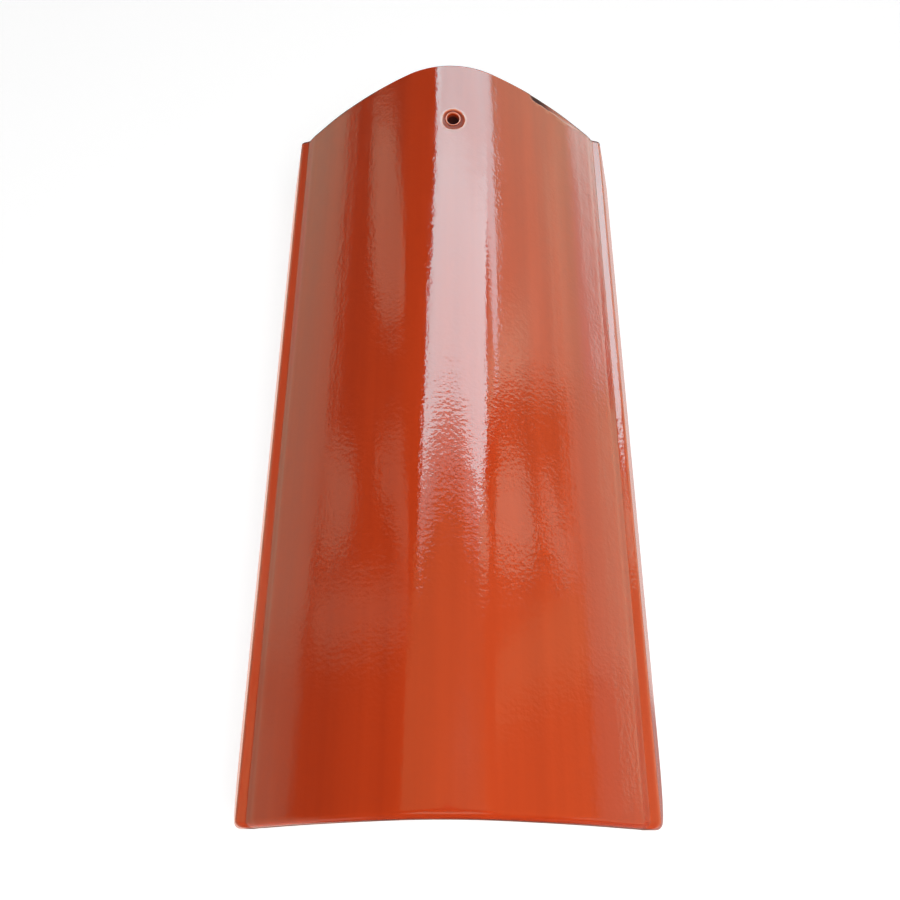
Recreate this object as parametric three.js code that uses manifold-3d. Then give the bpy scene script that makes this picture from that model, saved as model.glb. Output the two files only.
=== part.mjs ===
import * as THREE from "three";
import { mergeVertices } from "three/addons/utils/BufferGeometryUtils.js";
import Module from "manifold-3d";

// Verge tile: one fired clay hood that caps the edge of a pitched roof.
// X runs across the tile, +Y along it towards the nailed head, +Z up.
// The origin is on the plane of the feet, under the middle of the tile.
// Lengths are in millimetres and angles in degrees.

// Overall sizes
const tileLength = 420;
const tileWidth = 220; // across the outer edges of the two feet
const wall = 12;
const endRounding = 2; // on every edge of the two end faces

// Hood: a round crown, a slightly bulging flank each side and a steeper skirt below it
const crownRadius = 52;
const crownPitch = 29; // where the crown meets the flank
const crownStraight = 0.8; // between the arc of the crown and the arc of the haunch
const haunchRadius = 240;
const flankPitch = 38.2;
const skirtPitch = 44.5;
const skirtWidth = 18.4; // sideways, from the knee to the crease
const kneeRadius = 30;

// Crease and ledge between the skirt and the leg
const creaseDrop = 4.5;
const creaseRun = 3.8;
const creaseLipRadius = 4;
const creaseRootRadius = 1.2;
const ledgeWidth = 9; // sideways, from the crease to the shoulder
const ledgePitch = 15;
const shoulderRadius = 2.4;

// Legs
const legHeight = 51.75; // from the feet to the crease
const legSplay = 11.6; // sideways, from the shoulder out to the foot
const innerBendRadius = 12;
const noseCornerRadius = 38; // lower corner of each leg at the nose end

// Nail hole near the head, slightly off the centre line, with a sunk seat
const nailFromHead = 44;
const nailOffset = 2.2;
const nailHoleWidth = 7;
const nailHoleLength = 8.6;
const nailSeatMargin = 3.6;
const nailSeatDepth = 1;
const nailHoleShift = 1.6; // towards the head, from the middle of the seat

// Fineness of the facets, and how far a cutter reaches past what it cuts
const arcStep = THREE.MathUtils.degToRad(4);
const ovalSegments = 12;
const endRoundingSegments = 3;
const cutMargin = 10;

function slope(pitch) {
  return Math.tan(THREE.MathUtils.degToRad(pitch));
}

// Outer corners of the section's right half, from the foot up to the gable
const creaseHalfWidth = tileWidth / 2 - legSplay - ledgeWidth;
const footCorner = new THREE.Vector2(tileWidth / 2, 0);
const creaseTop = new THREE.Vector2(creaseHalfWidth, legHeight);
const creaseRoot = new THREE.Vector2(creaseHalfWidth + creaseRun, legHeight - creaseDrop);
const shoulder = new THREE.Vector2(
  creaseHalfWidth + ledgeWidth,
  creaseRoot.y - (ledgeWidth - creaseRun) * slope(ledgePitch)
);
const knee = new THREE.Vector2(
  creaseHalfWidth - skirtWidth,
  legHeight + skirtWidth * slope(skirtPitch)
);
const haunchTurn = THREE.MathUtils.degToRad(flankPitch - crownPitch);
const haunchSetback = haunchRadius * Math.tan(haunchTurn / 2);
const crownSlant = crownRadius * slope(crownPitch) + crownStraight + haunchSetback;
const haunchHalfWidth = crownSlant * Math.cos(THREE.MathUtils.degToRad(crownPitch));
const haunch = new THREE.Vector2(
  haunchHalfWidth,
  knee.y + (knee.x - haunchHalfWidth) * slope(flankPitch)
);
const gable = new THREE.Vector2(0, haunch.y + haunch.x * slope(crownPitch));
const crownTop = gable.y - crownRadius * (1 / Math.cos(THREE.MathUtils.degToRad(crownPitch)) - 1);

// A straight line of the outer section, moved inwards by the wall thickness
function innerLine(lower, upper) {
  const direction = upper.clone().sub(lower).normalize();
  const inwards = new THREE.Vector2(-direction.y, direction.x);
  return { point: lower.clone().addScaledVector(inwards, wall), direction };
}

function crossing(first, second) {
  const gap = second.point.clone().sub(first.point);
  const along = gap.cross(second.direction) / first.direction.cross(second.direction);
  return first.point.clone().addScaledVector(first.direction, along);
}

// Inner corners of the right half, on lines parallel to the outer ones
const innerLeg = innerLine(footCorner, shoulder);
const innerSkirt = innerLine(creaseTop, knee);
const innerFlank = innerLine(knee, haunch);
const innerCrown = innerLine(haunch, gable);
const groundLine = { point: new THREE.Vector2(0, 0), direction: new THREE.Vector2(1, 0) };
const middleLine = { point: new THREE.Vector2(0, 0), direction: new THREE.Vector2(0, 1) };
const innerFoot = crossing(innerLeg, groundLine);
const innerBend = crossing(innerLeg, innerSkirt);
const innerKnee = crossing(innerSkirt, innerFlank);
const innerHaunch = crossing(innerFlank, innerCrown);
const innerGable = crossing(innerCrown, middleLine);

// The points of an arc of the given radius in place of one corner
function roundedCorner(before, corner, after, radius) {
  const arriving = corner.clone().sub(before).normalize();
  const leaving = after.clone().sub(corner).normalize();
  const turn = Math.atan2(arriving.cross(leaving), arriving.dot(leaving));
  const setback = radius * Math.tan(Math.abs(turn) / 2);
  const start = corner.clone().addScaledVector(arriving, -setback);
  const towardsCentre = new THREE.Vector2(-arriving.y, arriving.x).multiplyScalar(Math.sign(turn));
  const centre = start.clone().addScaledVector(towardsCentre, radius);
  const steps = Math.max(1, Math.ceil(Math.abs(turn) / arcStep));
  return Array.from({ length: steps + 1 }, (_, step) =>
    start.clone().rotateAround(centre, (turn * step) / steps)
  );
}

function roundedOutline(corners) {
  return corners.flatMap(({ at, radius }, index) => {
    if (radius === 0) return [at];
    const before = corners[(index + corners.length - 1) % corners.length].at;
    const after = corners[(index + 1) % corners.length].at;
    return roundedCorner(before, at, after, radius);
  });
}

function mirrored(corners) {
  return corners
    .map(({ at, radius }) => ({ at: new THREE.Vector2(-at.x, at.y), radius }))
    .reverse();
}

// The whole section, anticlockwise from the right foot over the crown and back inside
function hoodSection() {
  const outerRight = [
    { at: footCorner, radius: 0 },
    { at: shoulder, radius: shoulderRadius },
    { at: creaseRoot, radius: creaseRootRadius },
    { at: creaseTop, radius: creaseLipRadius },
    { at: knee, radius: kneeRadius },
    { at: haunch, radius: haunchRadius },
  ];
  const innerRight = [
    { at: innerHaunch, radius: haunchRadius - wall },
    { at: innerKnee, radius: kneeRadius - wall },
    { at: innerBend, radius: innerBendRadius },
    { at: innerFoot, radius: 0 },
  ];
  return new THREE.Shape(
    roundedOutline([
      ...outerRight,
      { at: gable, radius: crownRadius },
      ...mirrored(outerRight),
      ...mirrored(innerRight),
      { at: innerGable, radius: crownRadius - wall },
      ...innerRight,
    ])
  );
}

// The section drawn out along Y, with both ends rounded into the material
function hoodGeometry() {
  const depth = tileLength - 2 * endRounding;
  const geometry = new THREE.ExtrudeGeometry(hoodSection(), {
    depth,
    steps: 1,
    bevelEnabled: true,
    bevelThickness: endRounding,
    bevelSize: endRounding,
    bevelOffset: -endRounding,
    bevelSegments: endRoundingSegments,
  });
  geometry.translate(0, 0, -depth / 2);
  geometry.rotateX(Math.PI / 2);
  return geometry;
}

// What is cut away under the nose end: the square corner outside a quarter circle
function noseCornerGeometry() {
  const cutWidth = tileWidth + 2 * cutMargin;
  const corner = new THREE.Shape();
  corner.moveTo(-cutMargin, -cutMargin);
  corner.lineTo(noseCornerRadius, -cutMargin);
  corner.lineTo(noseCornerRadius, 0);
  corner.absarc(noseCornerRadius, noseCornerRadius, noseCornerRadius, -Math.PI / 2, -Math.PI, true);
  corner.lineTo(-cutMargin, noseCornerRadius);
  corner.closePath();
  const geometry = new THREE.ExtrudeGeometry(corner, {
    depth: cutWidth,
    bevelEnabled: false,
    curveSegments: ovalSegments,
  });
  geometry.translate(0, 0, -cutWidth / 2);
  geometry.rotateX(Math.PI / 2);
  geometry.rotateZ(Math.PI / 2);
  geometry.translate(0, -tileLength / 2, 0);
  return geometry;
}

// An upright oval plug at the nail hole, from the given height to above the crown
function nailPlugGeometry(width, length, bottom, shift) {
  const oval = new THREE.Shape();
  oval.absellipse(0, 0, width / 2, length / 2, 0, 2 * Math.PI);
  const geometry = new THREE.ExtrudeGeometry(oval, {
    depth: crownTop + cutMargin - bottom,
    bevelEnabled: false,
    curveSegments: ovalSegments,
  });
  geometry.translate(nailOffset, tileLength / 2 - nailFromHead + shift, bottom);
  return geometry;
}

const solids = await Module();
solids.setup();

function toSolid(geometry) {
  const bare = geometry.clone();
  bare.deleteAttribute("normal");
  bare.deleteAttribute("uv");
  const merged = mergeVertices(bare);
  return new solids.Manifold(
    new solids.Mesh({
      numProp: 3,
      vertProperties: new Float32Array(merged.attributes.position.array),
      triVerts: new Uint32Array(merged.index.array),
    })
  );
}

function toGeometry(solid) {
  const mesh = solid.getMesh();
  const geometry = new THREE.BufferGeometry();
  geometry.setAttribute("position", new THREE.BufferAttribute(mesh.vertProperties, 3));
  geometry.setIndex(new THREE.BufferAttribute(mesh.triVerts, 1));
  geometry.computeVertexNormals();
  return geometry;
}

function tileGeometry() {
  const nailSeatWidth = nailHoleWidth + 2 * nailSeatMargin;
  const nailSeatLength = nailHoleLength + 2 * nailSeatMargin;
  const holeBottom = crownTop - wall - cutMargin;
  const nailHole = nailPlugGeometry(nailHoleWidth, nailHoleLength, holeBottom, nailHoleShift);
  const nailSeat = nailPlugGeometry(nailSeatWidth, nailSeatLength, crownTop - nailSeatDepth, 0);
  return toGeometry(
    toSolid(hoodGeometry())
      .subtract(toSolid(noseCornerGeometry()))
      .subtract(toSolid(nailHole))
      .subtract(toSolid(nailSeat))
  );
}

const glazedClay = new THREE.MeshStandardMaterial({ color: 0xb8401c, roughness: 0.12, metalness: 0 });
const vergeTile = new THREE.Mesh(tileGeometry(), glazedClay);
vergeTile.name = "verge_tile";

const tile = new THREE.Group();
tile.add(vergeTile);

export default tile;
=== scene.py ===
import math

import bmesh
import bpy
from mathutils import Euler, Matrix, Vector, noise


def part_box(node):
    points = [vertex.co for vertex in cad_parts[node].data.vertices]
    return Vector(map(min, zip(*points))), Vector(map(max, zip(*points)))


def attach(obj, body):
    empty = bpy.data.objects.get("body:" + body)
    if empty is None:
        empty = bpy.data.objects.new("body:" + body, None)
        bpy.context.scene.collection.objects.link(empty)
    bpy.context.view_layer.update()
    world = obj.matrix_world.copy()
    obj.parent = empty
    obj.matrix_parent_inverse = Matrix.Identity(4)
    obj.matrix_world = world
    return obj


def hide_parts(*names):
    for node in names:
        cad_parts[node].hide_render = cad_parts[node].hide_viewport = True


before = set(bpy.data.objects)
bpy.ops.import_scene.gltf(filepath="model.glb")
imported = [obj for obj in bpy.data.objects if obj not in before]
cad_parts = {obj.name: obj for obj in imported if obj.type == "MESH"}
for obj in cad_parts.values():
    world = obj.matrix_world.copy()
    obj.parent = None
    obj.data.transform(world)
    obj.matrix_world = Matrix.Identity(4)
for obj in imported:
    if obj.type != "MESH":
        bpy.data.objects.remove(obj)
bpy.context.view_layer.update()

# Sizes in metres and angles in degrees, in the frame's own axes:
# X across the tile, +Y towards the nailed head, +Z up, origin under its middle.

NODE = "verge_tile"
LOW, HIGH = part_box(NODE)
HALF_WIDTH = HIGH.x
NOSE_Y = LOW.y
HEAD_Y = HIGH.y
CROWN_TOP = HIGH.z

MM = 0.001
WALL = 12 * MM
CROWN_RADIUS = 52 * MM
CROWN_PITCH = 29
CROWN_STRAIGHT = 0.8 * MM
FLANK_RADIUS = 240 * MM
FLANK_PITCH = 38.2
SKIRT_PITCH = 44.5
KNEE_RADIUS = 200 * MM
CREASE_DROP = 4.5 * MM
CREASE_RUN = 3.8 * MM
LIP_RADIUS = 4 * MM
ROOT_RADIUS = 1.2 * MM
LEDGE_WIDTH = 9 * MM
LEDGE_PITCH = 15
SHOULDER_RADIUS = 2.4 * MM
LEG_HEIGHT = 51.75 * MM
LEG_SPLAY = 11.6 * MM
INNER_BEND_RADIUS = 12 * MM
NOSE_CORNER = 38 * MM
HEAD_CORNER = 5 * MM
NOSE_ROUND = 3.4 * MM
HEAD_ROUND = 1.2 * MM
FOOT_ROUND = 2.6 * MM

# Broken glaze along the head's edge, by distance across the outer skin from the crown; its near-black
# is partly the bare body and partly painted shade, and its lip gets a painted highlight
CHIP_START = 54 * MM
CHIP_RISE = 3 * MM
CHIP_FALL = 25 * MM
CHIP_STOP = 108 * MM
CHIP_DARK_STOP = 84 * MM
CHIP_DARK_FADE = 22 * MM
CHIP_WIDTH = 4.0 * MM
CHIP_STEP = 0.9 * MM
CHIP_DEPTH = 0.3 * MM
CHIP_LIP = 0.9 * MM
CHIP_LEAST = 0.15
CHIP_WIGGLE = 0.35
CHIP_WIGGLE_LENGTH = 7 * MM
CHIP_SEED = 3.7

# Painted shade: a dark line along the head's edge, on both flanks
HEAD_SHADE_START = 44 * MM
HEAD_SHADE_FADE = 12 * MM
HEAD_SHADE_WIDTH = 1.7 * MM
HEAD_SHADE_SOFT = 0.4
HEAD_SHADE_DARKNESS = 0.85

# Painted shade: how dark the glaze gets before it stops on the end faces and under the feet
RIM_SHADE = 0.4

# Painted highlight: how much lighter the glaze is painted on the edges along the tile
LIP_HIGHLIGHT = 0.12
LEDGE_HIGHLIGHT = 0.12
SHOULDER_HIGHLIGHT = 0.5

# Slow hollows of the hand-finished skin: broad ones, and fine ones on top of them
HOLLOW_STRETCH = 0.55
BROAD_HOLLOW = 0.14 * MM
BROAD_LENGTH = 42 * MM
BROAD_SEED = Vector((7.1, 0.0, 2.0))
FINE_HOLLOW = 0.035 * MM
FINE_LENGTH = 15 * MM
FINE_SEED = Vector((0.0, 4.2, 9.0))

# Nail hole: a shallow oval dish with a low lip round the bore
NAIL_X = 2.2 * MM
NAIL_Y = HEAD_Y - 44 * MM
HOLE_HALF = Vector((3.5, 4.2)) * MM
HOLE_SHIFT = Vector((-0.2, 1.6)) * MM
SEAT_HALF = Vector((6.6, 7.4)) * MM
SEAT_DEPTH = 1.5 * MM
SEAT_WALL = 2.4 * MM
SEAT_RIM_ROUND = 1.6 * MM
SEAT_RIM_REACH = 1.3 * MM
SEAT_SURROUND = 1.0 * MM
# Painted shade on the seat's sloping wall
SEAT_SHADE = 0.55
HOLE_LIP = 0.6 * MM
HOLE_LIP_FOOT = 1.2 * MM
HOLE_LIP_FOOT_RISE = 0.6
HOLE_RIM_ROUND = 0.8 * MM
HOLE_RAGGED = 0.03
HOLE_RAGGED_SCALE = 1.7
HOLE_RAGGED_SEED = 5.0
PATCH_HALF = 12 * MM

# Shape of the seat's wall: shares of its width, and how much of its fall is done there
SEAT_WALL_FALL = ((0.35, 0.45), (0.7, 0.8), (0.9, 0.95), (1.0, 1.0))

# Mesh fineness: lengths, then degrees of arc, then counts
ROW_STEP = 3.0 * MM
CHIP_ROW_STEP = 0.4 * MM
ACROSS_STEP = 1.6 * MM
CROWN_STEP = 1.8
FLANK_STEP = 0.33
KNEE_STEP = 1.5
FILLET_STEP = 5.0
CHIP_ROWS = 12
ROUND_ROWS = 5
RIM_ROWS = 3
SEAT_RINGS = 5
HOLE_RINGS = 4
BORE_END_RINGS = 3

# Camera, at the photograph's viewpoint

CAMERA_PLACE = Vector((4.66, -237.53, 499.16)) * MM
CAMERA_PITCH = 64.01
CAMERA_PAN = 1.10
CAMERA_ROLL = -1.00
FOCAL_PIXELS = 913.13
FRAME_PIXELS = 900


def add_camera():
    data = bpy.data.cameras.new("camera")
    data.sensor_width = 36.0
    data.lens = data.sensor_width * FOCAL_PIXELS / FRAME_PIXELS
    data.clip_start = 0.01
    camera = bpy.data.objects.new("camera", data)
    bpy.context.collection.objects.link(camera)
    turn = Euler((0, 0, math.radians(CAMERA_PAN))).to_matrix()
    tilt = Euler((math.radians(90 - CAMERA_PITCH), 0, 0)).to_matrix()
    roll = Euler((0, 0, math.radians(CAMERA_ROLL))).to_matrix()
    camera.matrix_world = Matrix.Translation(CAMERA_PLACE) @ (turn @ tilt @ roll).to_4x4()
    bpy.context.scene.camera = camera


# Cross-section: points are (x, z) pairs of the right half, from the crown down to the foot

def along(pitch):
    angle = math.radians(pitch)
    return Vector((math.cos(angle), -math.sin(angle)))


def outwards(pitch):
    angle = math.radians(pitch)
    return Vector((math.sin(angle), math.cos(angle)))


def pitch_of(direction):
    return math.degrees(math.atan2(-direction.y, direction.x))


def arc(centre, radius, first, last, step):
    """Points of an arc whose surface pitch goes from first to last."""
    count = max(1, math.ceil(abs(last - first) / step))
    return [centre + radius * outwards(first + (last - first) * k / count) for k in range(count + 1)]


def fillet(before, corner, after, radius, step=FILLET_STEP):
    """Points of an arc that rounds a corner of the section."""
    first = pitch_of(corner - before)
    last = pitch_of(after - corner)
    side = 1 if last > first else -1
    setback = radius * math.tan(math.radians(abs(last - first)) / 2)
    centre = corner - along(first) * setback - outwards(first) * side * radius
    return arc(centre, side * radius, first, last, step)


def subdivided(points, step):
    """The same polyline with no stretch longer than step."""
    out = [points[0]]
    for a, b in zip(points, points[1:]):
        count = max(1, math.ceil((b - a).length / step))
        out += [a.lerp(b, k / count) for k in range(1, count + 1)]
    return out


def crossing(point, direction, other, other_direction):
    gap = other - point
    share = (gap.x * other_direction.y - gap.y * other_direction.x) / (
        direction.x * other_direction.y - direction.y * other_direction.x
    )
    return point + direction * share


def at_height(points, height):
    """The point of a falling polyline at the given height."""
    for a, b in zip(points, points[1:]):
        if b.y <= height <= a.y and a.y > b.y:
            return a.lerp(b, (a.y - height) / (a.y - b.y))
    return points[-1].copy()


def at_share(points, share):
    """The point at a share of a polyline's length."""
    spans = [(b - a).length for a, b in zip(points, points[1:])]
    left = share * sum(spans)
    for a, b, span in zip(points, points[1:], spans):
        if left <= span:
            return a.lerp(b, left / span)
        left -= span
    return points[-1].copy()


def rounding_steps(radius):
    """Distances from an edge at which the rounded edge has a row, from the edge inwards."""
    quarter = math.pi / 2
    return [radius * (1 - math.cos(quarter * k / ROUND_ROWS)) for k in range(ROUND_ROWS + 1)]


class Section:
    """Matched points of the outer and inner skin, across the whole tile."""

    def __init__(self):
        foot = Vector((HALF_WIDTH, 0.0))
        crease_x = HALF_WIDTH - LEG_SPLAY - LEDGE_WIDTH
        lip = Vector((crease_x, LEG_HEIGHT))
        root = Vector((crease_x + CREASE_RUN, LEG_HEIGHT - CREASE_DROP))
        shoulder = Vector((crease_x + LEDGE_WIDTH, 0.0))
        shoulder.y = root.y - (shoulder.x - root.x) * math.tan(math.radians(LEDGE_PITCH))
        centre = Vector((0.0, CROWN_TOP - CROWN_RADIUS))
        crown = arc(centre, CROWN_RADIUS, 0, CROWN_PITCH, CROWN_STEP)
        inner_crown = arc(centre, CROWN_RADIUS - WALL, 0, CROWN_PITCH, CROWN_STEP)
        crown.append(crown[-1] + along(CROWN_PITCH) * CROWN_STRAIGHT)
        inner_crown.append(inner_crown[-1] + along(CROWN_PITCH) * CROWN_STRAIGHT)
        centre = crown[-1] - outwards(CROWN_PITCH) * FLANK_RADIUS
        crown += arc(centre, FLANK_RADIUS, CROWN_PITCH, FLANK_PITCH, FLANK_STEP)[1:]
        inner_crown += arc(centre, FLANK_RADIUS - WALL, CROWN_PITCH, FLANK_PITCH, FLANK_STEP)[1:]
        knee = crossing(crown[-1], along(FLANK_PITCH), lip, along(SKIRT_PITCH))
        bend = fillet(crown[-1], knee, lip, KNEE_RADIUS, KNEE_STEP)
        bend_centre = bend[0] - outwards(FLANK_PITCH) * KNEE_RADIUS
        inner_bend = arc(bend_centre, KNEE_RADIUS - WALL, FLANK_PITCH, SKIRT_PITCH, KNEE_STEP)
        self.leg_pitch = pitch_of(foot - shoulder)
        inner_foot = crossing(
            foot - outwards(self.leg_pitch) * WALL, along(self.leg_pitch), foot, Vector((1.0, 0.0))
        )
        inner_corner = crossing(
            inner_foot, along(self.leg_pitch), inner_bend[-1], along(SKIRT_PITCH)
        )
        self.outer_low = (
            [bend[-1]]
            + fillet(bend[-1], lip, root, LIP_RADIUS)
            + fillet(lip, root, shoulder, ROOT_RADIUS)
            + fillet(root, shoulder, foot, SHOULDER_RADIUS)
            + [foot]
        )
        self.inner_low = (
            [inner_bend[-1]]
            + fillet(inner_bend[-1], inner_corner, inner_foot, INNER_BEND_RADIUS)
            + [inner_foot]
        )
        flank = subdivided([crown[-1], bend[0]], ACROSS_STEP)[1:-1]
        inner_flank = subdivided([inner_crown[-1], inner_bend[0]], ACROSS_STEP)[1:-1]
        half = list(zip(crown + flank + bend, inner_crown + inner_flank + inner_bend))
        half += self.skirt_pairs()
        self.leg_start = len(half)
        half += [self.leg_pair(height) for height in self.leg_heights()]
        self.half_count = len(half)
        self.pairs = [self.mirror(pair) for pair in reversed(half[1:])] + half
        self.travel = self.travel_along()

    @staticmethod
    def mirror(pair):
        return tuple(Vector((-point.x, point.y)) for point in pair)

    def skirt_pairs(self):
        """From below the knee to the height where the nose corner's rounding begins."""
        stop = at_height(self.outer_low, NOSE_CORNER)
        inner_stop = at_height(self.inner_low, NOSE_CORNER)
        outer = [p for p in self.outer_low if p.y > stop.y] + [stop]
        inner = [p for p in self.inner_low if p.y > inner_stop.y] + [inner_stop]
        outer = subdivided(outer, ACROSS_STEP)
        length = sum((b - a).length for a, b in zip(outer, outer[1:]))
        pairs = []
        done = 0.0
        for a, b in zip(outer, outer[1:]):
            done += (b - a).length
            pairs.append((b, at_share(inner, done / length)))
        return pairs

    @staticmethod
    def leg_heights():
        """Heights of the rows on the leg, from under the rounding's start down to the foot."""
        count = math.ceil((NOSE_CORNER - HEAD_CORNER) / ACROSS_STEP)
        heights = [NOSE_CORNER + (HEAD_CORNER - NOSE_CORNER) * k / count for k in range(1, count + 1)]
        return heights + [(HEAD_CORNER + FOOT_ROUND) / 2] + rounding_steps(FOOT_ROUND)[::-1]

    def leg_pair(self, height):
        return at_height(self.outer_low, height), at_height(self.inner_low, height)

    def travel_along(self):
        """Distance across the outer skin from the middle of the crown, negative on the left."""
        total = [0.0]
        for (a, _), (b, _) in zip(self.pairs, self.pairs[1:]):
            total.append(total[-1] + (b - a).length)
        middle = total[self.half_count - 1]
        return [value - middle for value in total]

    def pair_at(self, travel):
        """The outer and inner point at any distance across the outer skin."""
        for k in range(1, len(self.travel)):
            if travel <= self.travel[k]:
                share = (travel - self.travel[k - 1]) / (self.travel[k] - self.travel[k - 1])
                return tuple(a.lerp(b, share) for a, b in zip(self.pairs[k - 1], self.pairs[k]))
        return self.pairs[-1]


# Surface: where the skins go in space

def corner_shift(low, side, radius):
    """Moves a place near a square corner onto a round one.

    low and side are the distances from the two edges. Returns the new two, the distance
    from the rounded edge, and how far round the corner the place is (0 at the low edge)."""
    u = radius - low
    v = radius - side
    reach = max(u, v)
    angle = math.pi / 4 * (v / u) if u >= v else math.pi / 2 - math.pi / 4 * (u / v)
    low, side = radius - reach * math.cos(angle), radius - reach * math.sin(angle)
    return low, side, radius - reach, angle / (math.pi / 2)


def smooth_step(value, low, high):
    share = min(1.0, max(0.0, (value - low) / (high - low)))
    return share * share * (3 - 2 * share)


def head_edge_shade(travel, to_head):
    """How dark the painted shade along the head's edge is."""
    across = smooth_step(abs(travel), HEAD_SHADE_START, HEAD_SHADE_START + HEAD_SHADE_FADE)
    first = HEAD_SHADE_WIDTH * (1 - HEAD_SHADE_SOFT)
    last = HEAD_SHADE_WIDTH * (1 + HEAD_SHADE_SOFT)
    return HEAD_SHADE_DARKNESS * across * (1 - smooth_step(to_head, first, last))


def chipped(travel, to_head):
    """Where the glaze has broken off along the head's edge, on the right flank.

    Returns how deep the surface lies there, how dark it is painted (bare body and painted shade) and
    how strong the painted highlight on its lip is."""
    if not CHIP_START < travel < CHIP_STOP or to_head > 2 * CHIP_WIDTH:
        return 0.0, 0.0, 0.0
    fade = smooth_step(travel, CHIP_START, CHIP_START + CHIP_RISE)
    fade *= 1 - smooth_step(travel, CHIP_STOP - CHIP_FALL, CHIP_STOP)
    wiggle = noise.noise(Vector((travel / CHIP_WIGGLE_LENGTH, CHIP_SEED, 0.0)))
    width = CHIP_WIDTH * (fade * (1 + CHIP_WIGGLE * wiggle) + CHIP_LEAST)
    inside = smooth_step(width - to_head, -CHIP_STEP / 2, CHIP_STEP / 2)
    dark = 1 - smooth_step(travel, CHIP_DARK_STOP - CHIP_DARK_FADE, CHIP_DARK_STOP)
    lip = max(0.0, 1 - abs(to_head - width - CHIP_LIP / 2) / CHIP_LIP)
    return inside * CHIP_DEPTH * fade, inside * fade * dark, lip * fade


def edge_highlight(point):
    """How strong the painted highlight is on the ledge, on the crease's lip and round the shoulder.
    """
    crease_x = HALF_WIDTH - LEG_SPLAY - LEDGE_WIDTH
    out = abs(point.x) - crease_x
    lip = LIP_HIGHLIGHT * max(0.0, 1 - abs(out) / (LIP_RADIUS / 2))
    ledge = LEDGE_HIGHLIGHT * smooth_step(out, CREASE_RUN / 2, CREASE_RUN)
    shoulder = SHOULDER_HIGHLIGHT * smooth_step(out, LEDGE_WIDTH - SHOULDER_RADIUS, LEDGE_WIDTH)
    fade = smooth_step(point.y, 0.0, LEG_HEIGHT - CREASE_DROP)
    return max(lip, ledge * fade, shoulder * fade)


def rounding(distance, radius):
    """How far a rounded edge lies below its face, at a distance from the edge."""
    if distance >= radius:
        return 0.0
    return radius - math.sqrt(radius ** 2 - (radius - distance) ** 2)


def hollow(y, travel):
    """How far the hand-made surface lies below the true one. Never above it."""
    place = Vector((travel, y * HOLLOW_STRETCH, 0.0))
    broad = noise.noise(place / BROAD_LENGTH + BROAD_SEED)
    fine = noise.noise(place / FINE_LENGTH + FINE_SEED)
    return BROAD_HOLLOW * (broad + 1) / 2 + FINE_HOLLOW * (fine + 1) / 2


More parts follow.
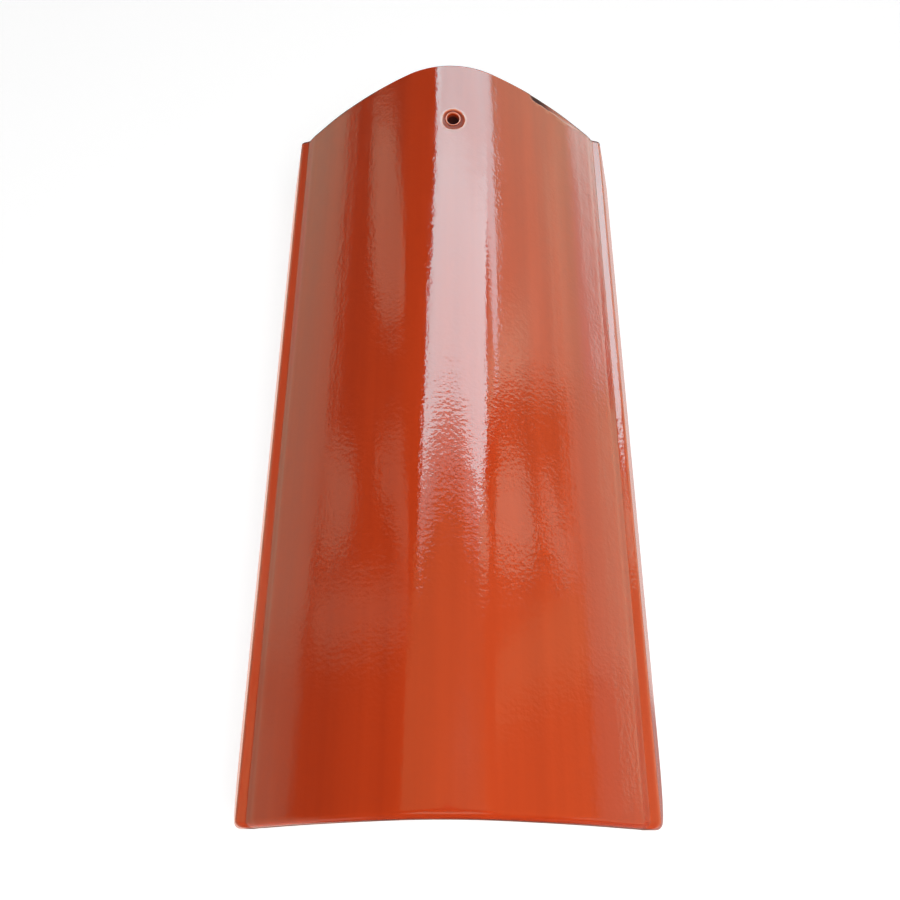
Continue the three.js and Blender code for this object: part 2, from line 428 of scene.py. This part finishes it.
class Tile:
    """Builds the tile's mesh from rows along Y and columns across the section."""

    def __init__(self):
        self.section = Section()
        self.columns = len(self.section.pairs)
        self.rows = self.row_places()
        self.mesh = bmesh.new()
        # Per-vertex values: painted shade (with the chip's bare body) and painted highlight
        self.bare_and_shade = self.mesh.verts.layers.float.new("bare_and_shade")
        self.painted_highlight = self.mesh.verts.layers.float.new("painted_highlight")
        self.first_leg = self.section.half_count - self.section.leg_start

    @staticmethod
    def row_places():
        """Y of each row, from the nose to the head."""
        nose = [NOSE_Y + step for step in rounding_steps(NOSE_ROUND)]
        chip_rows = [HEAD_ROUND + k * CHIP_ROW_STEP for k in range(1, CHIP_ROWS + 1)]
        head = [HEAD_Y - step for step in rounding_steps(HEAD_ROUND) + chip_rows][::-1]
        corner = NOSE_Y + NOSE_CORNER
        near = max(1, round((corner - nose[-1]) / ROW_STEP))
        far = max(1, round((head[0] - corner) / ROW_STEP))
        middle = [nose[-1] + (corner - nose[-1]) * k / near for k in range(1, near + 1)]
        middle += [corner + (head[0] - corner) * k / far for k in range(1, far)]
        return nose + middle + head

    def place(self, column, row):
        """The outer and inner point of a grid place, its Y and how far its edge is rounded."""
        pair = self.section.pairs[column]
        y = self.rows[row]
        to_nose = y - NOSE_Y
        to_head = HEAD_Y - y
        round_off = max(rounding(to_nose, NOSE_ROUND), rounding(to_head, HEAD_ROUND))
        on_leg = column < self.first_leg or column >= self.columns - self.first_leg
        if not on_leg:
            return pair, y, round_off
        height = pair[0].y
        if height < NOSE_CORNER and to_nose < NOSE_CORNER:
            height, to_nose, depth, turn = corner_shift(height, to_nose, NOSE_CORNER)
            y = NOSE_Y + to_nose
            round_off = rounding(depth, FOOT_ROUND + (NOSE_ROUND - FOOT_ROUND) * turn)
        elif height < HEAD_CORNER and to_head < HEAD_CORNER:
            height, to_head, depth, turn = corner_shift(height, to_head, HEAD_CORNER)
            y = HEAD_Y - to_head
            round_off = rounding(depth, FOOT_ROUND + (HEAD_ROUND - FOOT_ROUND) * turn)
        else:
            round_off = max(round_off, rounding(height, FOOT_ROUND))
            return pair, y, round_off
        moved = self.section.leg_pair(height)
        return (moved if column > self.columns / 2 else self.section.mirror(moved)), y, round_off

    def point(self, pair, y, share):
        """A point at a share of the way through the wall."""
        flat = pair[0].lerp(pair[1], share)
        return Vector((flat.x, y, flat.y))

    def grid(self):
        """Vertices of both skins, as [column][row]."""
        outer, inner = [], []
        for column in range(self.columns):
            travel = self.section.travel[column]
            outer_line, inner_line = [], []
            for row in range(len(self.rows)):
                pair, y, round_off = self.place(column, row)
                # Painted shade along the head's edge and in the chip, and painted highlights on the
                # edges
                chip, bare_and_shade, painted_highlight = chipped(travel, HEAD_Y - y)
                bare_and_shade = max(bare_and_shade, head_edge_shade(travel, HEAD_Y - y))
                sunk = round_off + chip + hollow(y, travel)
                vertex = self.mesh.verts.new(self.point(pair, y, sunk / WALL))
                vertex[self.bare_and_shade] = bare_and_shade
                vertex[self.painted_highlight] = max(painted_highlight, edge_highlight(pair[0]))
                outer_line.append(vertex)
                inner_line.append(self.mesh.verts.new(self.point(pair, y, 1 - round_off / WALL)))
            outer.append(outer_line)
            inner.append(inner_line)
        return outer, inner

    def patch_range(self):
        """Columns and rows of the block that the nail hole replaces."""
        travel = self.section.travel
        columns = [k for k in range(self.columns) if abs(travel[k] - NAIL_X) <= PATCH_HALF]
        rows = [k for k, y in enumerate(self.rows) if abs(y - NAIL_Y) <= PATCH_HALF]
        return columns[0], columns[-1], rows[0], rows[-1]

    def skin_faces(self, skin, flip):
        """The faces of one skin, apart from the block round the nail hole."""
        left, right, near, far = self.patch_range()
        for i in range(self.columns - 1):
            for j in range(len(self.rows) - 1):
                if left <= i < right and near <= j < far:
                    continue
                corners = [skin[i][j], skin[i + 1][j], skin[i + 1][j + 1], skin[i][j + 1]]
                self.face(corners[::-1] if flip else corners, flip)

    def face(self, corners, inside=False):
        face = self.mesh.faces.new(corners)
        face.smooth = True
        face.material_index = 1 if inside else 0

    def edge_loop(self, skin):
        """The boundary of a skin, once round."""
        last_row = len(self.rows) - 1
        loop = [line[0] for line in skin]
        loop += skin[-1][1:]
        loop += [line[last_row] for line in skin[-2::-1]]
        loop += skin[0][-2:0:-1]
        return loop

    def bridge(self, first, second, inside=False):
        """A ring of faces between two closed loops of vertices."""
        count = len(first)
        for k in range(count):
            n = (k + 1) % count
            self.face([first[k], second[k], second[n], first[n]], inside)

    def rim(self, outer, inner):
        """The end faces and the undersides of the feet, between the two rounded edges."""
        outer_loop, inner_loop = self.edge_loop(outer), self.edge_loop(inner)
        rings = [outer_loop]
        for step in range(1, RIM_ROWS + 1):
            share = step / (RIM_ROWS + 1)
            ring = []
            for a, b in zip(outer_loop, inner_loop):
                vertex = self.mesh.verts.new(a.co.lerp(b.co, share))
                # Painted shade on the first band of the end faces and of the feet's undersides
                vertex[self.bare_and_shade] = RIM_SHADE
                ring.append(vertex)
            rings.append(ring)
        rings.append(inner_loop)
        self.bridge(rings[0], rings[1])
        for first, second in zip(rings[1:], rings[2:]):
            self.bridge(first, second, inside=True)

    def block_places(self):
        """Columns and rows of the places round the nail hole's block, once round."""
        left, right, near, far = self.patch_range()
        places = [(i, near) for i in range(left, right)]
        places += [(right, j) for j in range(near, far)]
        places += [(i, far) for i in range(right, left, -1)]
        places += [(left, j) for j in range(far, near, -1)]
        return places

    def nail_hole(self, outer, inner):
        """The seat, the bore and the bore's lower edge, as rings between the two skins."""
        places = self.block_places()
        loop = [outer[i][j] for i, j in places]
        inner_loop = [inner[i][j] for i, j in places]
        flat = [Vector((self.section.travel[i], self.rows[j])) for i, j in places]
        centre = Vector((NAIL_X, NAIL_Y))
        turns = [math.atan2(p.y - centre.y, p.x - centre.x) for p in flat]

        def oval(half, grow, turn, shift):
            reach = half + Vector((grow, grow))
            around = Vector((math.cos(turn), math.sin(turn), HOLE_RAGGED_SEED))
            ragged = 1 + HOLE_RAGGED * noise.noise(around * HOLE_RAGGED_SCALE)
            spoke = Vector((reach.x * math.cos(turn), reach.y * math.sin(turn)))
            return centre + HOLE_SHIFT * shift + spoke * ragged

        def ring(half, grow, depth, blend=0.0, shift=0.0, bare_and_shade=0.0, painted_highlight=0.0):
            """One loop of vertices: an oval at a depth, or part way out to the block's edge."""
            made = []
            for place, turn in zip(flat, turns):
                at = oval(half, grow, turn, shift).lerp(place, blend)
                pair = self.section.pair_at(at.x)
                sunk = depth + (hollow(at.y, at.x) if depth < WALL / 2 else 0.0)
                vertex = self.mesh.verts.new(self.point(pair, at.y, sunk / WALL))
                vertex[self.bare_and_shade] = bare_and_shade
                vertex[self.painted_highlight] = painted_highlight
                made.append(vertex)
            return made

        # The rim with a painted highlight, the sloping wall of the seat in painted shade and the
        # gutter at its foot
        rings = [loop]
        rings.append(ring(SEAT_HALF, SEAT_SURROUND, 0.0, blend=0.5))
        rings.append(ring(SEAT_HALF, SEAT_RIM_REACH, 0.0, blend=0.1))
        steepest = math.atan2(SEAT_DEPTH, SEAT_WALL)
        for k in range(SEAT_RINGS + 1):
            angle = steepest * k / SEAT_RINGS
            grow = SEAT_RIM_ROUND * (math.sin(steepest) - math.sin(angle))
            drop = SEAT_RIM_ROUND * (1 - math.cos(angle))
            painted_highlight = math.sin(math.pi * (k + 1) / (SEAT_RINGS + 2))
            rings.append(ring(SEAT_HALF, grow, drop, painted_highlight=painted_highlight))
        start = SEAT_RIM_ROUND * (1 - math.cos(steepest))
        for share, fall in SEAT_WALL_FALL:
            depth = start + (SEAT_DEPTH - start) * fall
            rings.append(ring(SEAT_HALF, -SEAT_WALL * share, depth, shift=share, bare_and_shade=SEAT_SHADE))

        # The raised lip around the hole with a painted highlight, then the bore and its lower edge
        # painted near-black as shade
        lip = SEAT_DEPTH - HOLE_LIP
        lip_foot = SEAT_DEPTH - HOLE_LIP * HOLE_LIP_FOOT_RISE
        rings.append(ring(HOLE_HALF, HOLE_LIP_FOOT, lip_foot, shift=1.0))
        for k in range(HOLE_RINGS + 1):
            angle = math.pi / 2 * k / HOLE_RINGS
            grow = HOLE_RIM_ROUND * (1 - math.sin(angle))
            drop = HOLE_RIM_ROUND * (1 - math.cos(angle))
            rings.append(ring(HOLE_HALF, grow, lip + drop, shift=1.0, painted_highlight=1 - k / HOLE_RINGS))
        bore_top = lip + HOLE_RIM_ROUND
        bore_end = WALL - HOLE_RIM_ROUND
        for k in range(1, HOLE_RINGS + 1):
            depth = bore_top + (bore_end - bore_top) * k / HOLE_RINGS
            rings.append(ring(HOLE_HALF, 0.0, depth, shift=1.0, bare_and_shade=1.0))
        for k in range(1, BORE_END_RINGS + 1):
            angle = math.pi / 2 * k / BORE_END_RINGS
            grow = HOLE_RIM_ROUND * (1 - math.cos(angle))
            depth = bore_end + HOLE_RIM_ROUND * math.sin(angle)
            rings.append(ring(HOLE_HALF, grow, depth, shift=1.0, bare_and_shade=1.0))
        rings.append(ring(HOLE_HALF, HOLE_RIM_ROUND, WALL, blend=0.45, shift=1.0, bare_and_shade=1.0))
        rings.append(inner_loop)
        for first, second in zip(rings, rings[1:]):
            self.bridge(second, first)

    def build(self):
        outer, inner = self.grid()
        self.skin_faces(outer, False)
        self.skin_faces(inner, True)
        self.rim(outer, inner)
        self.nail_hole(outer, inner)
        bmesh.ops.recalc_face_normals(self.mesh, faces=self.mesh.faces)
        data = bpy.data.meshes.new("glazed_tile")
        self.mesh.to_mesh(data)
        self.mesh.free()
        tile = bpy.data.objects.new("glazed_tile", data)
        bpy.context.collection.objects.link(tile)
        return tile


# Materials: colours, roughness and the ripples' noise scale, height and stretch along Y

GLAZE_DEEP = (0.55, 0.045, 0.0065)
GLAZE_BRIGHT = (0.63, 0.054, 0.008)
# A lighter colour painted on edges and rims as a highlight
GLAZE_HIGHLIGHT = (0.80, 0.24, 0.13)
# A near-black for the chip's bare body, also used as painted shade
BARE_AND_SHADE_DARK = (0.06, 0.012, 0.009)
CLAY_DARK = (0.30, 0.085, 0.035)
CLAY_PALE = (0.42, 0.14, 0.06)
GLOSS_ROUGHNESS = (0.05, 0.09)
BARE_AND_SHADE_ROUGHNESS = 0.7
CLAY_ROUGHNESS = 0.85
GLAZE_SHINE = 0.5
BARE_AND_SHADE_SHINE = 0.1
GLAZE_IOR = 1.5
TONE_SCALE = 90.0
TONE_STRETCH = (1.0, 0.02, 0.7)
GLOSS_SCALE = 30.0
LINE_SCALE = 260.0
LINE_STRETCH = (1.0, 0.012, 0.6)
LINE_HEIGHT = 0.05 * MM
WAVE_SCALE = 70.0
WAVE_HEIGHT = 0.09 * MM
PEEL_SCALE = 520.0
PEEL_HEIGHT = 0.07 * MM
CLAY_TONE_SCALE = 22.0
GRAIN_SCALE = 600.0
GRAIN_HEIGHT = 0.3 * MM


def grey(level):
    return (level, level, level)


def new_material(name):
    material = bpy.data.materials.new(name)
    material.use_nodes = True
    nodes = material.node_tree.nodes
    return material, nodes, material.node_tree.links, nodes["Principled BSDF"]


def add_noise(nodes, links, coordinates, scale, detail=2.0, stretch=(1, 1, 1)):
    mapping = nodes.new("ShaderNodeMapping")
    mapping.inputs["Scale"].default_value = stretch
    links.new(coordinates.outputs["Object"], mapping.inputs["Vector"])
    texture = nodes.new("ShaderNodeTexNoise")
    texture.inputs["Scale"].default_value = scale
    texture.inputs["Detail"].default_value = detail
    links.new(mapping.outputs["Vector"], texture.inputs["Vector"])
    return texture.outputs["Fac"]


def add_ramp(nodes, links, source, stops):
    ramp = nodes.new("ShaderNodeValToRGB")
    links.new(source, ramp.inputs["Fac"])
    elements = ramp.color_ramp.elements
    while len(elements) < len(stops):
        elements.new(0.5)
    for element, (position, colour) in zip(elements, stops):
        element.position = position
        element.color = (*colour, 1.0)
    return ramp.outputs["Color"]


def add_mix(nodes, links, factor, first, second):
    mix = nodes.new("ShaderNodeMix")
    mix.data_type = "RGBA"
    links.new(factor, mix.inputs["Factor"])
    for name, value in (("A", first), ("B", second)):
        socket = next(s for s in mix.inputs if s.name == name and s.type == "RGBA")
        if isinstance(value, tuple):
            socket.default_value = (*value, 1.0)
        else:
            links.new(value, socket)
    return next(s for s in mix.outputs if s.type == "RGBA")


def add_bump(nodes, links, height, distance, before=None):
    bump = nodes.new("ShaderNodeBump")
    bump.inputs["Strength"].default_value = 1.0
    bump.inputs["Distance"].default_value = distance
    links.new(height, bump.inputs["Height"])
    if before is not None:
        links.new(before, bump.inputs["Normal"])
    return bump.outputs["Normal"]


def glaze_material():
    material, nodes, links, shader = new_material("orange_red_glaze")
    coordinates = nodes.new("ShaderNodeTexCoord")
    bare_and_shade = nodes.new("ShaderNodeAttribute")
    bare_and_shade.attribute_name = "bare_and_shade"
    painted_highlight = nodes.new("ShaderNodeAttribute")
    painted_highlight.attribute_name = "painted_highlight"

    # Colour: a slow change of tone, streaks along the tile, painted highlights on the edges, and a
    # near-black for the chip's bare clay and for painted shade
    streak = add_noise(nodes, links, coordinates, TONE_SCALE, 3.0, TONE_STRETCH)
    colour = add_ramp(nodes, links, streak, [(0.3, GLAZE_DEEP), (0.7, GLAZE_BRIGHT)])
    colour = add_mix(nodes, links, painted_highlight.outputs["Fac"], colour, GLAZE_HIGHLIGHT)
    colour = add_mix(nodes, links, bare_and_shade.outputs["Fac"], colour, BARE_AND_SHADE_DARK)
    links.new(colour, shader.inputs["Base Color"])

    # Gloss: wet-looking, and dull where the glaze is chipped and where shade is painted
    gloss = add_noise(nodes, links, coordinates, GLOSS_SCALE, 2.0)
    smoothest, roughest = (grey(level) for level in GLOSS_ROUGHNESS)
    roughness = add_ramp(nodes, links, gloss, [(0.35, smoothest), (0.7, roughest)])
    roughness = add_mix(nodes, links, bare_and_shade.outputs["Fac"], roughness, grey(BARE_AND_SHADE_ROUGHNESS))
    links.new(roughness, shader.inputs["Roughness"])
    stops = [(0.0, grey(GLAZE_SHINE)), (1.0, grey(BARE_AND_SHADE_SHINE))]
    shine = add_ramp(nodes, links, bare_and_shade.outputs["Fac"], stops)
    links.new(shine, shader.inputs["Specular IOR Level"])

    # Ripples: lines along the tile, a slow waviness and a fine orange-peel grain
    lines = add_noise(nodes, links, coordinates, LINE_SCALE, 2.0, LINE_STRETCH)
    waves = add_noise(nodes, links, coordinates, WAVE_SCALE, 1.0)
    peel = add_noise(nodes, links, coordinates, PEEL_SCALE, 1.5)
    normal = add_bump(nodes, links, lines, LINE_HEIGHT)
    normal = add_bump(nodes, links, waves, WAVE_HEIGHT, normal)
    normal = add_bump(nodes, links, peel, PEEL_HEIGHT, normal)
    links.new(normal, shader.inputs["Normal"])
    shader.inputs["IOR"].default_value = GLAZE_IOR
    return material


def bare_clay_material():
    material, nodes, links, shader = new_material("bare_clay")
    coordinates = nodes.new("ShaderNodeTexCoord")
    tone = add_noise(nodes, links, coordinates, CLAY_TONE_SCALE, 6.0)
    colour = add_ramp(nodes, links, tone, [(0.3, CLAY_DARK), (0.7, CLAY_PALE)])
    links.new(colour, shader.inputs["Base Color"])
    shader.inputs["Roughness"].default_value = CLAY_ROUGHNESS
    grain = add_noise(nodes, links, coordinates, GRAIN_SCALE, 5.0)
    links.new(add_bump(nodes, links, grain, GRAIN_HEIGHT), shader.inputs["Normal"])
    return material


# Stage: a pale floor, soft light from above, and soft boxes that only show as reflections

FLOOR_REACH = 6.0
FLOOR_DROP = 0.2 * MM
FLOOR_GREY = 0.35
FLOOR_ROUGHNESS = 0.9
FLOOR_GLOW = 0.8
WORLD_GLOW = 0.08
OVERHEAD_PLACE = (0.29, -0.42, 1.15)
OVERHEAD_TARGET = (0, 0, 0.05)
OVERHEAD_SIZE = (0.9, 0.9)
OVERHEAD_POWER = 14


def hide_from(obj, **rays):
    """Turns off the named kinds of ray for an object."""
    for ray in rays:
        setattr(obj, "visible_" + ray, rays[ray])


def add_floor():
    mesh = bpy.data.meshes.new("floor")
    signs = ((-1, -1), (1, -1), (1, 1), (-1, 1))
    corners = [(FLOOR_REACH * x, FLOOR_REACH * y, 0) for x, y in signs]
    mesh.from_pydata(corners, [], [(0, 1, 2, 3)])
    floor = bpy.data.objects.new("floor", mesh)
    bpy.context.collection.objects.link(floor)
    material, _, _, shader = new_material("pale_floor")
    shader.inputs["Base Color"].default_value = (*grey(FLOOR_GREY), 1.0)
    shader.inputs["Roughness"].default_value = FLOOR_ROUGHNESS
    shader.inputs["Specular IOR Level"].default_value = 0.0
    shader.inputs["Emission Color"].default_value = (1.0, 1.0, 1.0, 1.0)
    shader.inputs["Emission Strength"].default_value = FLOOR_GLOW
    mesh.materials.append(material)
    floor.location.z = -FLOOR_DROP
    hide_from(floor, glossy=False)


def add_area_light(name, place, target, size, power, **rays):
    data = bpy.data.lights.new(name, "AREA")
    data.shape = "RECTANGLE"
    data.size, data.size_y = size
    data.energy = power
    light = bpy.data.objects.new(name, data)
    light.location = place
    light.rotation_mode = "QUATERNION"
    light.rotation_quaternion = (Vector(place) - Vector(target)).to_track_quat("Z", "Y")
    bpy.context.collection.objects.link(light)
    hide_from(light, camera=False, **rays)


# Each soft box is cut into facets of about this many degrees, in at most so many rounds
PANEL_FACET = 5.0
PANEL_ROUNDS = 6

COOL = (0.5, 0.93, 1.0)
PALE = (0.7, 1.0, 0.95)
WARM = (0.6, 1.0, 0.75)
AMBER = (0.5, 1.0, 0.55)
SALMON = (1.0, 0.65, 0.55)
PINK = (1.0, 0.75, 0.7)
ROSE = (1.0, 0.55, 0.5)

# Each soft box: brightness in the middle and at the rim, width of the soft rim in degrees,
# distance in metres, tint, and the directions of its corners as seen from the tile, in
# degrees from +Y towards +X and degrees above the floor.
SOFT_BOXES = {
    "sky": (
        10.6, 3.0, 0.35, 40, COOL,
        [
            (-50, 50.5), (-44, 54), (-36, 57.1), (-24, 59.5), (-8, 61.4), (13, 61),
            (27, 58.8), (37.5, 56.5), (47, 53), (54.5, 48.5), (54.5, 41), (51.7, 38.3),
            (49.5, 37), (46.5, 35.3), (44, 33.2), (43, 31.5), (42.5, 30), (42, 21.6),
            (39, 20.7), (20, 20.7), (-8, 22), (-16, 40), (-17, 43), (-21.7, 44.8), (-26, 46.4),
            (-32.4, 46.8), (-35, 49.3), (-37.5, 51),
        ],
    ),
    "sky_side": (
        7.6, 10.6, 6.0, 39, COOL,
        [(-14, 43.5), (12, 43.5), (27, 40), (38.5, 31), (38.5, 25), (36, 24), (0, 24)],
    ),
    "sky_low_side": (
        6.6, 7.0, 1.5, 38, COOL,
        [(10, 27), (38, 27), (42.6, 28), (42.3, 21.8), (39, 20.9), (10, 20.9)],
    ),
    "sky_line": (
        6.9, 5.5, 0.4, 38, COOL,
        [
            (41, 30.5), (45, 29.8), (48, 29), (52, 28.4), (54, 28), (55.5, 27), (54.5, 25.6),
            (52, 24.1), (50, 22.9), (48, 22.1), (45, 21.6), (41, 21),
        ],
    ),
    "sky_glow": (
        2.6, 0.6, 2.0, 46, PALE,
        [
            (-52, 51), (-36, 57), (-8, 61.3), (13, 61), (37, 56), (56, 45), (60, 50),
            (42, 61), (10, 66), (-10, 66), (-40, 62), (-58, 54),
        ],
    ),
    "wall": (
        1.55, 1.4, 1.0, 45, WARM,
        [
            (25, 22), (45, 30), (54, 42), (55.5, 34), (57, 25.5), (58.4, 19), (59.8, 10),
            (60.3, 4), (60.3, -3), (25, -3),
        ],
    ),
    "wall_edge": (
        2.9, 1.9, 1.5, 42, WARM,
        [(51, 34), (53, 38), (55, 34), (57, 24), (58, 16), (55, 16)],
    ),
    "wall_side": (1.9, 1.6, 1.5, 43, WARM, [(51, 24), (57.5, 24), (59, 12), (53, 11)]),
    "wall_foot": (1.9, 1.6, 0.8, 43, WARM, [(46, 5.2), (60, 5.8), (60.4, 2), (46, 2)]),
    "right_patch": (
        2.2, 0.6, 1.2, 42, WARM,
        [(61.5, 27), (62.5, 22), (63.4, 19), (66, 18), (70, 17), (70, 23), (67, 33), (63, 35)],
    ),
    "right_low_patch": (
        1.75, 0.5, 1.0, 42, WARM,
        [(64.4, 14.6), (65.4, 11), (67.4, 8.6), (71, 4.5), (72.2, 4), (72, 9.5), (69, 13.8)],
    ),
    "right_streak": (
        2.6, 0.8, 1.0, 42, WARM,
        [(54.8, 48), (56, 44), (62, 40), (64, 45), (61, 50), (57, 52)],
    ),
    "right_base": (
        0.45, 0.4, 2.0, 48, AMBER,
        [(60, 50), (60, 3), (100, 3), (140, 10), (120, 40), (80, 50)],
    ),
    "right_near": (0.95, 0.45, 1.8, 47, AMBER, [(74, 40), (73, 3), (78.5, 3), (79.5, 40)]),
    "right_low": (
        1.35, 1.3, 0.6, 46, PALE, [(25, -3), (60, -3), (60, -16), (25, -16)],
    ),
    "right_low_middle": (
        1.3, 1.2, 0.6, 46, WARM,
        [(60, 4.6), (69, 4.8), (71, 2.5), (78, 2.5), (78, -21), (60, -21)],
    ),
    "right_low_near": (0.85, 0.75, 2.0, 47, WARM, [(76, 2.5), (76, -21), (125, -21), (125, 2.5)]),
    "right_low_shine": (
        1.8, 1.3, 0.8, 44, WARM,
        [(60, -8.4), (66, -8.6), (73, -9.4), (85, -10), (85, -14), (60, -13)],
    ),
    "right_far_shine": (
        2.6, 1.5, 0.6, 43, PALE,
        [
            (36, -3.2), (45, -4.2), (48.2, -6.2), (51.4, -7.0), (54.8, -7.6), (59.6, -8.2),
            (60.5, -16), (36, -16),
        ],
    ),
    "left_low": (
        0.85, 0.5, 0.3, 45, WARM,
        [
            (-25, 2.8), (-44, 2.9), (-48, 2.8), (-53, 3.2), (-60, 3.6), (-64, 2.9),
            (-70.5, 1.7), (-75, 0.5), (-75, -26), (-64, -26), (-55, -15), (-25, -15),
        ],
    ),
    "left_low_turn": (
        0.78, 0.46, 8.0, 45.5, WARM, [(-62, -1.5), (-77.5, -3.7), (-77.5, -30), (-62, -30)],
    ),
    "left_low_foot": (
        0.66, 0.5, 3.0, 45.7, WARM, [(-76, -10), (-125, -10), (-125, -28), (-76, -28)],
    ),
    "left_low_near": (
        0.52, 0.36, 6.0, 46, WARM, [(-68, -1.0), (-68, -28), (-125, -28), (-125, -3)],
    ),
    "left_patch": (
        1.05, 0.25, 1.2, 45, WARM,
        [(-41.5, 16), (-45.7, 20.5), (-50, 27), (-54, 20), (-53.5, 14.5), (-48, 11.3), (-43, 9.5)],
    ),
    "left_middle_patch": (
        0.95, 0.2, 1.2, 44, WARM,
        [(-63.8, 3), (-64, 11), (-66.6, 13.5), (-69.6, 12), (-71.3, 4)],
    ),
    "left_high_patch": (
        0.75, 0.2, 1.5, 45, WARM,
        [(-58.5, 29), (-59, 38), (-63, 45), (-66.5, 36), (-66, 27), (-65, 20), (-62.5, 19)],
    ),
    "left_near_patch": (
        0.68, 0.15, 1.2, 45, WARM,
        [
            (-72.7, 3), (-71, 22), (-68, 37), (-65, 46), (-69, 47), (-74, 33), (-77, 9),
            (-77, 3),
        ],
    ),
    "eave": (
        0.65, 0.5, 1.0, 50, AMBER,
        [
            (-110, 45), (-80, 45), (-50, 52), (0, 62), (50, 52), (80, 45), (110, 45),
            (110, 88), (-110, 88),
        ],
    ),
    "behind_camera": (
        1.5, 0.5, 3.0, 45, WARM,
        [(140, 25), (180, 28), (220, 25), (220, 52), (180, 56), (140, 52)],
    ),
    "left_under": (
        1.0, 0.8, 1.0, 47, SALMON,
        [(-10, -15), (-150, -15), (-150, -80), (-10, -80)],
    ),
    "right_far_under": (
        0.8, 0.8, 1.0, 47, PINK,
        [(10, -17), (58, -17), (58, -80), (10, -80)],
    ),
    "right_under": (
        0.5, 0.5, 1.0, 47, ROSE,
        [(58, -20), (150, -20), (150, -80), (58, -80)],
    ),
}


def direction_of(corner):
    """The unit vector towards a corner of a soft box."""
    turn, lift = math.radians(corner.x), math.radians(corner.y)
    level = math.cos(lift)
    return Vector((math.sin(turn) * level, math.cos(turn) * level, math.sin(lift)))


def add_soft_box(name, brightness, rim_brightness, soft, distance, tint, corners):
    """A glowing panel on a sphere, whose brightness changes smoothly over its rim."""
    corners = [Vector(corner) for corner in corners]
    middle = sum(corners, Vector((0.0, 0.0))) / len(corners)
    mesh = bmesh.new()
    glow = mesh.verts.layers.float.new("glow")
    loops = []
    for side, value in ((-0.5, brightness), (0.5, rim_brightness)):
        loop = []
        for corner in corners:
            moved = corner + (corner - middle).normalized() * soft * side
            vertex = mesh.verts.new((moved.x, moved.y, 0.0))
            vertex[glow] = value
            loop.append(vertex)
        loops.append(loop)
    inner, outer = loops
    mesh.faces.new(inner)
    for k in range(len(corners)):
        n = (k + 1) % len(corners)
        mesh.faces.new([inner[k], outer[k], outer[n], inner[n]])
    bmesh.ops.triangulate(mesh, faces=mesh.faces)
    for _ in range(PANEL_ROUNDS):
        long = [edge for edge in mesh.edges if edge.calc_length() > PANEL_FACET]
        bmesh.ops.subdivide_edges(mesh, edges=long, cuts=1)
        bmesh.ops.triangulate(mesh, faces=mesh.faces)
    for vertex in mesh.verts:
        vertex.co = direction_of(vertex.co) * distance
    data = bpy.data.meshes.new(name)
    mesh.to_mesh(data)
    mesh.free()
    material = bpy.data.materials.new(name)
    material.use_nodes = True
    nodes = material.node_tree.nodes
    nodes.clear()
    output = nodes.new("ShaderNodeOutputMaterial")
    emission = nodes.new("ShaderNodeEmission")
    emission.inputs["Color"].default_value = (*tint, 1.0)
    strength = nodes.new("ShaderNodeAttribute")
    strength.attribute_name = "glow"
    material.node_tree.links.new(strength.outputs["Fac"], emission.inputs["Strength"])
    material.node_tree.links.new(emission.outputs[0], output.inputs["Surface"])
    data.materials.append(material)
    box = bpy.data.objects.new(name, data)
    bpy.context.collection.objects.link(box)
    hide_from(box, camera=False, diffuse=False, shadow=False, transmission=False)


def add_lights():
    world = bpy.data.worlds.new("world")
    world.use_nodes = True
    background = world.node_tree.nodes["Background"]
    background.inputs["Color"].default_value = (1, 1, 1, 1)
    background.inputs["Strength"].default_value = WORLD_GLOW
    bpy.context.scene.world = world
    add_area_light(
        "overhead", OVERHEAD_PLACE, OVERHEAD_TARGET, OVERHEAD_SIZE, OVERHEAD_POWER, glossy=False
    )
    for name, box in SOFT_BOXES.items():
        add_soft_box("soft_box_" + name, *box)


def dress(tile):
    tile.data.materials.append(glaze_material())
    tile.data.materials.append(bare_clay_material())
    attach(tile, "root")
    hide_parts(NODE)


add_camera()
dress(Tile().build())
add_floor()
add_lights()
bpy.context.scene.view_settings.view_transform = "Standard"
